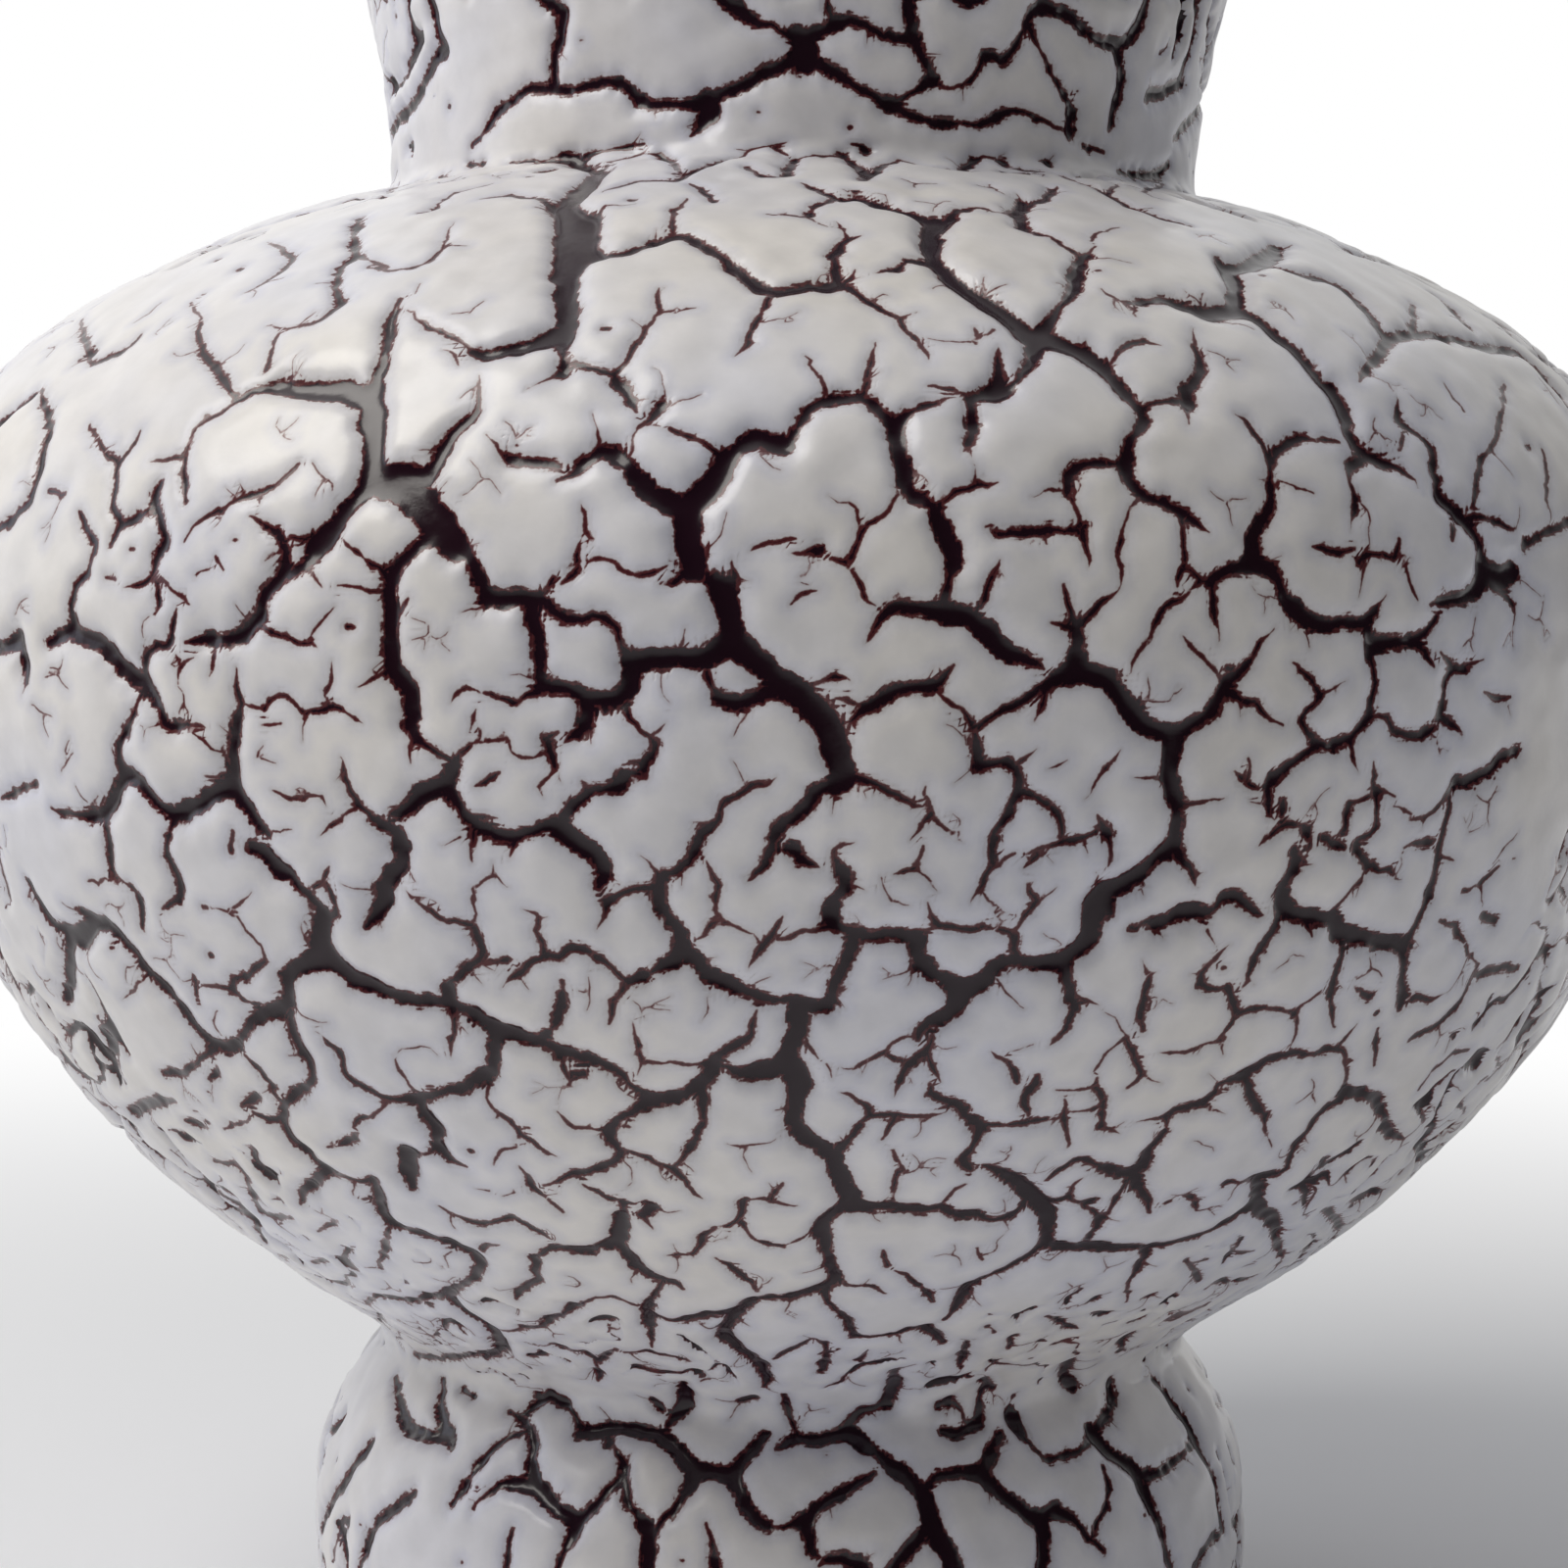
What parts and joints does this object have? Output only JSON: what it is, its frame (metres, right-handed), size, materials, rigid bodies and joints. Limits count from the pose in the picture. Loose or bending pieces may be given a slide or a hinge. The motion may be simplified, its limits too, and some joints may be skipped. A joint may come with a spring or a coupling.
{
  "type": "ceramic vase",
  "caption": "Footed ceramic vase with a full round belly and a flaring neck, under a white crawled glaze that has drawn up into islands over a dark ground glaze.",
  "frame": {"origin": "centre of the standing ring, on the surface that the vase stands on", "axes": "+Z is the axis of the vase, towards the mouth"},
  "size_m": [0.1093, 0.1095, 0.1333],
  "materials": {
    "clay": "unglazed fired stoneware clay",
    "slip": "fired joining slip",
    "dark_glaze": "glossy near-black glaze",
    "white_glaze": "thick glossy white glaze, crawled into islands"
  },
  "bodies": {
    "root": {"foot": "clay", "belly": "clay", "neck": "clay", "foot_joint_slip": "slip", "neck_joint_slip": "slip", "recess_glaze": "dark_glaze", "ground_glaze": "dark_glaze", "liner_glaze": "dark_glaze", "foot_islands": "white_glaze", "belly_islands": "white_glaze", "neck_islands": "white_glaze"}
  },
  "joints": []
}
